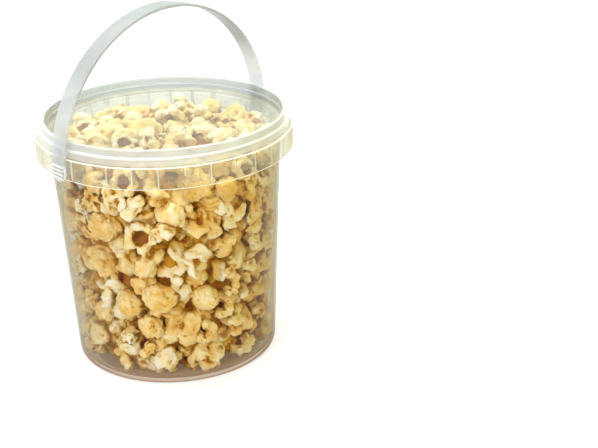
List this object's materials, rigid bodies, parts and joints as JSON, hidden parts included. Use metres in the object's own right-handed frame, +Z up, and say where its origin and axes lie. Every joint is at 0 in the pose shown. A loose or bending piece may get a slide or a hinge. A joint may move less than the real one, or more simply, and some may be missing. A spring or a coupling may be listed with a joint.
{
  "type": "bucket of popcorn",
  "caption": "Clear plastic snap-lid bucket with a bail handle, filled with toasted popcorn flakes that show through the wall and lid",
  "frame": {"origin": "centre of the bucket's base, on the surface it stands on", "axes": "+Z up through the lid; X along the handle's hinge; Y across it"},
  "size_m": [0.138, 0.133, 0.1873],
  "materials": {
    "clear_wall": "clear polypropylene, a little hazy",
    "clear_lid": "clear polypropylene, glossy",
    "frosted_strap": "natural polypropylene, translucent",
    "popcorn": "popped maize, cream to golden with brown hull in the hollows"
  },
  "bodies": {
    "tub": {"bucket": "clear_wall", "collar": "clear_wall", "lid": "clear_lid", "popcorn": "popcorn"},
    "bail": {"handle": "frosted_strap"}
  },
  "joints": [
    {"name": "bail_swing", "type": "hinge", "parent": "tub", "child": "bail", "pos_m": [0, 0, 0.117], "axis": [1, 0, 0], "range_deg": [-92.7, 87.3]}
  ]
}
